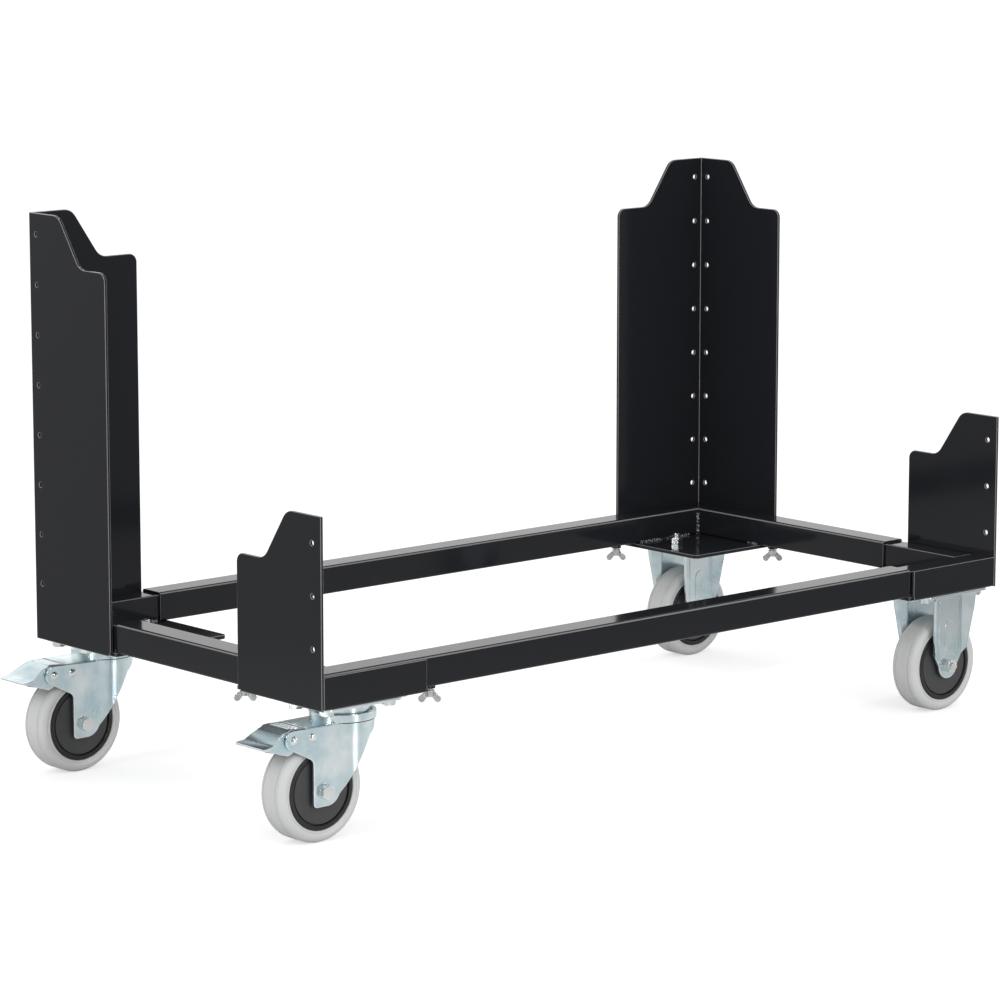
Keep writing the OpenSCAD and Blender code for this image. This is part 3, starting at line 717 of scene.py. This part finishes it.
def spun(section, centre, axis, steps):
    bm = bmesh.new()
    ring = [bm.verts.new(centre + (Vector((r, 0, 0)) + axis * h) * MM) for r, h in section]
    edges = [bm.edges.new((a, b)) for a, b in zip(ring, ring[1:] + ring[:1])]
    bmesh.ops.spin(
        bm,
        geom=ring + edges,
        cent=centre,
        axis=axis,
        angle=2 * math.pi,
        steps=steps,
        use_merge=True,
    )
    bmesh.ops.remove_doubles(bm, verts=bm.verts, dist=SPUN_DOUBLES)
    bmesh.ops.recalc_face_normals(bm, faces=bm.faces)
    shade(bm, TURNED)
    return bm


def both_sides(half):
    return half + [(r, -y) for r, y in reversed(half)]


# %% [markdown]
# ## Dark rings of painted shade under the bearing cups
# A thin dark line runs round each swivel bearing, where shade falls in the gap between the cup
# and the fork's top. A dark ring is laid there as painted shade. It could be painted as a band on
# the fork, but a ring of its own has an edge and a shadow. It lies on the fork's top and turns
# with it.

# %% Dark rings of painted shade
SHADE_RING_STEPS = 96
shade_ring_section = [(26.0, 0.0), (30.9, 0.0), (31.2, -0.2), (31.2, -0.8), (30.9, -1.0), (26.0, -1.0)]
for corner in SWIVELS:
    middle = middle_of(corner + "_kingpin")
    # Painted shade: a dark ring in the gap under the cup
    shade_ring = spun(shade_ring_section, Vector((middle.x, middle.y, CROWN_TOP)), ALONG_Z, SHADE_RING_STEPS)
    keep(shade_ring, corner + "_seal", body_of_node[corner + "_fork"], shoe_rubber)

# %% [markdown]
# ## Tyres
# The grey tyre has a flat tread, a fine parting line from the mould at each shoulder, a shoulder
# of 7 mm radius, and a small lip that grips the hub. The lines could be bump in the material, but
# the outer ones show in the tyre's outline, so all are drawn in the section. The section is half
# of the tyre, and the other half is its mirror image.

# %% Tyres
CORNERS = ("front_left", "rear_left", "rear_right", "front_right")
WHEEL_STEPS = 128
SHOULDER_R, SHOULDER_OUT, SHOULDER_ALONG = 7, 43, 9
shoulder = [
    (SHOULDER_OUT + SHOULDER_R * math.cos(turn), SHOULDER_ALONG + SHOULDER_R * math.sin(turn))
    for turn in [math.radians(degrees) for degrees in range(22, 87, 8)]
]
tread = [(49.98, 3.0), (49.95, 8.0), (49.2, 8.4), (49.1, 9.2), (49.95, 9.6), (49.98, 10.3)]
inner_line = [(49.2, 11.0)]
lip = [(42.6, 15.98), (42.1, 15.5), (40.3, 15.3), (39.9, 15.9), (39.2, 15.95), (38.5, 15.6)]
seat = [(38.1, 14.9), (38.02, 7.2), (40.98, 7.0)]
tyre_section = both_sides(tread + inner_line + shoulder + lip + seat)
for corner in CORNERS:
    tyre = corner + "_tyre"
    bm = spun(tyre_section, middle_of(tyre), ALONG_Y, WHEEL_STEPS)
    keep(bm, tyre + "_skin", body_of_node[tyre], tyre_rubber, [tyre])

# %% [markdown]
# ## Hubs
# The hub is one moulding on the real wheel, but it shows two finishes: a glossy rim, and a matt
# disc that lies a little lower, with a deep groove between them. A mask could part them on one
# mesh. Two turned pieces keep the line between them sharp, and the groove is a real gap.

# %% Hubs
boss = [(6.1, 18.1), (9.2, 18.1), (9.9, 17.7), (10.0, 15.3), (11.0, 15.15)]
dish = [(31.2, 15.1), (31.7, 14.9), (31.9, 14.4), (31.95, 12.0), (33.2, 11.9)]
rim_face = [(33.15, 11.8), (33.2, 15.2), (33.5, 15.8), (34.1, 15.98), (36.6, 15.9), (37.3, 15.7)]
rim_seat = [(37.8, 15.2), (38.0, 14.6), (38.0, 7.1), (40.95, 6.9)]
for corner in CORNERS:
    hub = corner + "_hub"
    disc = spun(both_sides(boss + dish), middle_of(hub), ALONG_Y, WHEEL_STEPS)
    keep(disc, hub + "_disc", body_of_node[hub], hub_plastic, [hub])
    rim = spun(both_sides(rim_face + rim_seat), middle_of(hub), ALONG_Y, WHEEL_STEPS)
    keep(rim, hub + "_rim", body_of_node[hub], rim_plastic)

# %% [markdown]
# ## Weld beads
# A welder's torch moves in small steps, and every step leaves a ripple. Bump could fake that, but
# the beads show in outline. So a bead starts as a ring that is extruded again and again, each time
# a little further on, and made thicker or thinner in turn. It lies half in the metal, so only its
# rippled front shows under the black coat. Patches of noise in the edge mask paint a highlight on
# some crests, as glints.

# %% Helper: one rippled bead
RIPPLE = 0.7 * MM
BEAD_SIDES, BEAD_END = 12, 0.7
SWELL = (1.0, 1.1, 1.12, 1.0, 0.88)
GLINTS_PER_METRE, GLINT = 650, 2.5


def unsteady_hand(step):
    return 0.06 * math.sin(step * 0.9) + 0.05 * math.sin(step * 2.3)


def bead(bm, start, end, radius):
    start, end = Vector(start), Vector(end)
    way = (end - start).normalized()
    turn = way.to_track_quat("Z", "Y").to_matrix().to_4x4()
    made = bmesh.ops.create_circle(
        bm,
        cap_ends=True,
        segments=BEAD_SIDES,
        radius=radius * BEAD_END,
        matrix=Matrix.Translation(start) @ turn,
    )
    layer = bm.faces.layers.float["edge"]
    ring = [e for e in bm.edges if e.is_boundary and e.verts[0] in made["verts"]]
    steps = round((end - start).length / RIPPLE)
    size = BEAD_END
    for step in range(1, steps + 1):
        wanted = BEAD_END if step == steps else SWELL[step % len(SWELL)]
        wanted += unsteady_hand(step)
        new = bmesh.ops.extrude_edge_only(bm, edges=ring)["geom"]
        ring = [g for g in new if isinstance(g, bmesh.types.BMEdge) and g.is_boundary]
        verts = [g for g in new if isinstance(g, bmesh.types.BMVert)]
        for face in [g for g in new if isinstance(g, bmesh.types.BMFace)]:
            # Painted highlight: noise patches in the edge mask paint glints on some crests
            patch = noise.noise(face.calc_center_median() * GLINTS_PER_METRE)
            face[layer] = max(0.0, patch) * GLINT
        bmesh.ops.translate(bm, verts=verts, vec=way * RIPPLE)
        middle = sum((v.co for v in verts), Vector()) / len(verts)
        grown = (wanted / size,) * 3
        bmesh.ops.scale(bm, verts=verts, vec=grown, space=Matrix.Translation(-middle))
        size = wanted
    bmesh.ops.contextual_create(bm, geom=ring)


# %% Weld beads of the four corners
CORNER_GAP, SHORT_LENGTH = 14 * MM, 14 * MM
UPRIGHT_BEAD, LONG_BEAD, SHORT_BEAD = 2.6 * MM, 2.4 * MM, 2.2 * MM
RIPPLED = math.radians(60)
for corner in CORNERS:
    node = corner + "_welds"
    low, high = box_of(node)
    # The node's box starts at the corner of the two tubes and ends at the far ends of its beads
    near_x, far_x = (high.x, low.x) if "right" in corner else (low.x, high.x)
    near_y, far_y = (high.y, low.y) if "rear" in corner else (low.y, high.y)
    inward_x, inward_y = (-1 if "right" in corner else 1), (-1 if "rear" in corner else 1)
    foot = low.z
    bm = bmesh.new()
    bm.faces.layers.float.new("edge")
    bead(bm, (near_x, near_y, high.z), (near_x, near_y, foot), UPRIGHT_BEAD)
    bead(bm, (near_x + inward_x * CORNER_GAP, near_y, foot), (far_x, near_y, foot), LONG_BEAD)
    bead(bm, (near_x, far_y - inward_y * SHORT_LENGTH, foot), (near_x, far_y, foot), SHORT_BEAD)
    bmesh.ops.recalc_face_normals(bm, faces=bm.faces)
    shade(bm, RIPPLED)
    keep(bm, node + "_beads", body_of_node[node], weld_coat, [node])

# %% [markdown]
# ## Threads
# One long caster screw stands up above its nut at each corner, and every axle's end stands out of
# its nut. A thread seen from this far is a row of fine ridges. A true screw line could be spun
# with a climb, but from here it would look the same. So the stand-in's plain end is made thinner,
# and a zigzag section is spun over it about the screw's own line, at the real pitch of 1.25 mm.

# %% Helper: a screw node with one threaded end
PITCH_MM, THREAD_START, THREAD_STEPS = 1.25, 0.1, 40
CORE, VALLEY, CREST = 3.0, 3.42, 3.96
SCREW_EDGE = 0.35
THINNER, SHANK_REACH, PAST_END = 0.86, 4.5 * MM, 1


def thread_section(length):
    section = [(CORE, THREAD_START)]
    for turn in range(int(length / PITCH_MM)):
        start = THREAD_START + turn * PITCH_MM
        section += [(VALLEY, start), (CREST, start + 0.5)]
        section += [(CREST, start + 0.65), (VALLEY, start + 1.15)]
    return section + [(CORE, section[-1][1])]


def threaded(node, foot, out, length):
    bm = merged_copy(node)
    end = []
    for vert in bm.verts:
        reach = vert.co - foot
        height = reach.dot(out)
        away = (reach - out * height).length
        if -HAIR < height < (length + PAST_END) * MM and away < SHANK_REACH:
            end.append(vert)
    thin = [1 if abs(v) > 0.5 else THINNER for v in out]
    bmesh.ops.scale(bm, verts=end, vec=thin, space=Matrix.Translation(-foot))
    print(node, "thinned points:", len(end))
    soften(bm, SCREW_EDGE)
    keep(bm, node + "_soft", body_of_node[node], screw_zinc, [node])
    ridges = spun(thread_section(length), foot, out, THREAD_STEPS)
    keep(ridges, node + "_thread", body_of_node[node], screw_zinc)


# %% [markdown]
# ## Screws and axles
# Each corner's long screw stands at the same distance from the frame's two ends, on top of its
# nut. The axles on the left have their nuts at the back, and those on the right in front. Their
# places could be read off the mesh, but the drawing gives them as plain distances, and these are
# easier to follow.

# %% Screws and axles
FRAME_LENGTH = 925 * MM
# The frame's own left end: the pedals reach further out
frame_left = cad_high.x - FRAME_LENGTH
SCREW_IN_X, SCREW_IN_Y, NUT_TOP = 92.5 * MM, 60 * MM, 141.5 * MM
AXLE_NUT = 28 * MM
SCREW_END, AXLE_END = 5.0, 2.5
for corner in CORNERS:
    side_x, side_y = (-1 if "right" in corner else 1), (-1 if "rear" in corner else 1)
    end_x, end_y = (cad_high.x if side_x < 0 else frame_left), side_y * cad_low.y
    foot = Vector((end_x + side_x * SCREW_IN_X, end_y + side_y * SCREW_IN_Y, NUT_TOP))
    threaded(corner + "_screws", foot, ALONG_Z, SCREW_END)
    out = ALONG_Y if "left" in corner else -ALONG_Y
    wheel = middle_of(corner + "_tyre")
    threaded(corner + "_axle", wheel + out * AXLE_NUT, out, AXLE_END)

# %% [markdown]
# ## Bearing balls
# The balls between fork and mounting plate are nearly hidden, and the CAD model has them round
# already. They could get a stand-in like the other nodes, but a ball has no edge to round. So they
# stay as they are and only get their finish.

# %% Bearing balls
for corner in SWIVELS:
    balls = nodes[corner + "_balls"]
    balls.data.materials.clear()
    balls.data.materials.append(ball_steel)
    print("kept:", balls.name)

# %% [markdown]
# ## Growth over the solids
# Rounding takes material away, so the dressed dolly should not be larger than the solids. That
# could be seen by eye in two views, but numbers are surer: the CAD box is printed at the start,
# and here the growth of the dressed box over it is printed.

# %% Sizes and the end
low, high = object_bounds()
print("grown by, mm:", [round((a - b) / MM, 2) for a, b in zip(high - low, cad_high - cad_low)])
